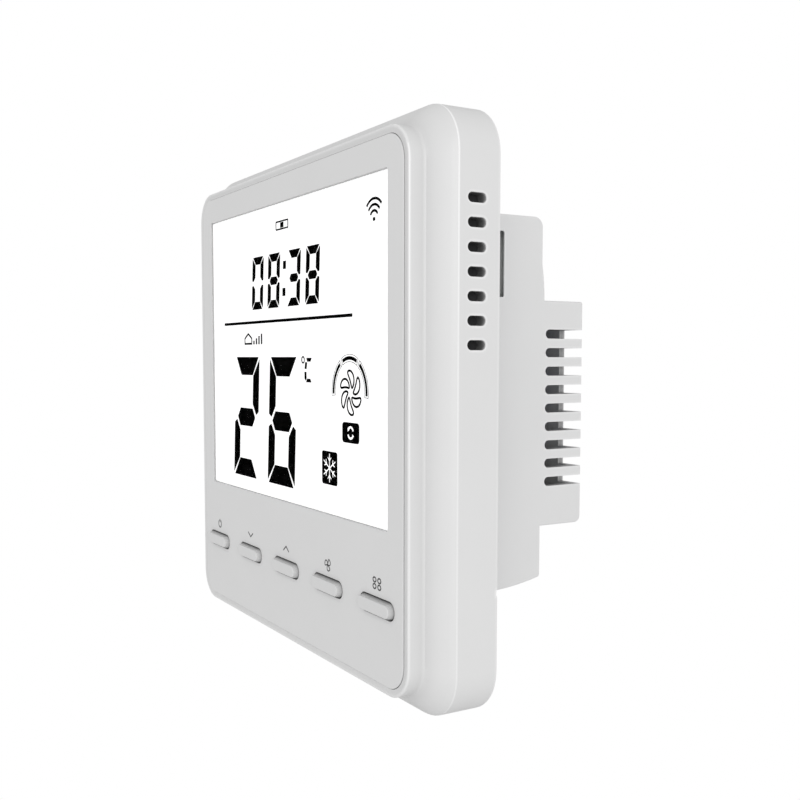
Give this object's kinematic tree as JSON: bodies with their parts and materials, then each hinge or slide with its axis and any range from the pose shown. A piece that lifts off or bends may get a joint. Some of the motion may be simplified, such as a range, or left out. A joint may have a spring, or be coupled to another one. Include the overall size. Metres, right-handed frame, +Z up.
{
  "type": "wall thermostat",
  "caption": "Wall thermostat: square stepped front unit with a lit segment display and a row of push keys, clipped over a steel plate with a stepped rear housing.",
  "frame": {"origin": "middle of the wall plane, between the two wall screw slots of the mounting plate", "axes": "+Y into the wall, so the display faces -Y; +Z up; +X to the right seen from the room"},
  "size_m": [0.086, 0.0435, 0.086],
  "materials": {
    "white_housing": "fine satin moulding",
    "grey_panel": "light grey printed face plate, satin",
    "grey_key": "light grey satin key",
    "display_lens": "clear polished acrylic",
    "lcd_glass": "lit white display with black segments",
    "lcd_white_plastic": "white moulded plastic",
    "black_rubber": "matte black",
    "circuit_board": "green solder mask",
    "screw_steel": "zinc plated",
    "plate_steel": "galvanised sheet",
    "component_metal": "plated can",
    "terminal_plastic": "light grey moulding",
    "blue_component": "blue moulded case",
    "amber_component": "amber tape and film case",
    "dark_component": "dark moulded component"
  },
  "bodies": {
    "wall_unit": {"mounting_plate": "plate_steel", "housing_screw_1": "screw_steel", "housing_screw_2": "screw_steel", "housing_screw_3": "screw_steel", "housing_screw_4": "screw_steel", "rear_housing": "white_housing", "power_board": "circuit_board", "power_board_screw_1": "screw_steel", "power_board_screw_2": "screw_steel", "board_socket": "dark_component", "terminal_block": "terminal_plastic", "terminal_screw_1": "screw_steel", "terminal_screw_2": "screw_steel", "terminal_screw_3": "screw_steel", "terminal_screw_4": "screw_steel", "terminal_screw_5": "screw_steel", "terminal_screw_6": "screw_steel", "fan_low_relay": "blue_component", "fan_medium_relay": "blue_component", "fan_high_relay": "blue_component", "valve_relay": "blue_component", "power_transformer": "amber_component", "bulk_capacitor": "dark_component", "output_capacitor": "dark_component", "fuse": "dark_component", "filter_capacitor": "amber_component", "line_choke": "dark_component", "varistor": "blue_component"},
    "front_unit": {"front_housing": "white_housing", "front_panel": "grey_panel", "display_lens": "display_lens", "lcd_panel": "lcd_glass", "lcd_backlight": "lcd_white_plastic", "lcd_frame": "lcd_white_plastic", "lcd_connector": "black_rubber", "control_board": "circuit_board", "control_board_screw_1": "screw_steel", "control_board_screw_2": "screw_steel", "control_board_screw_3": "screw_steel", "control_board_screw_4": "screw_steel", "microcontroller": "dark_component", "wifi_module": "component_metal", "backup_cell": "component_metal", "temperature_sensor": "black_rubber", "header_pins": "dark_component", "power_switch_body": "dark_component", "down_switch_body": "dark_component", "up_switch_body": "dark_component", "fan_switch_body": "dark_component", "menu_switch_body": "dark_component"},
    "power_button": {"power_key": "grey_key", "power_switch_stem": "dark_component"},
    "down_button": {"down_key": "grey_key", "down_switch_stem": "dark_component"},
    "up_button": {"up_key": "grey_key", "up_switch_stem": "dark_component"},
    "fan_button": {"fan_key": "grey_key", "fan_switch_stem": "dark_component"},
    "menu_button": {"menu_key": "grey_key", "menu_switch_stem": "dark_component"}
  },
  "joints": [
    {"name": "front_unit_pull", "type": "slide", "parent": "wall_unit", "child": "front_unit", "axis": [0, -1, 0], "range_m": [0, 0.012]},
    {"name": "power_press", "type": "slide", "parent": "front_unit", "child": "power_button", "axis": [0, 1, 0], "range_m": [0, 0.0003], "stiffness_N_per_m": 2000},
    {"name": "down_press", "type": "slide", "parent": "front_unit", "child": "down_button", "axis": [0, 1, 0], "range_m": [0, 0.0003], "stiffness_N_per_m": 2000},
    {"name": "up_press", "type": "slide", "parent": "front_unit", "child": "up_button", "axis": [0, 1, 0], "range_m": [0, 0.0003], "stiffness_N_per_m": 2000},
    {"name": "fan_press", "type": "slide", "parent": "front_unit", "child": "fan_button", "axis": [0, 1, 0], "range_m": [0, 0.0003], "stiffness_N_per_m": 2000},
    {"name": "menu_press", "type": "slide", "parent": "front_unit", "child": "menu_button", "axis": [0, 1, 0], "range_m": [0, 0.0003], "stiffness_N_per_m": 2000}
  ]
}
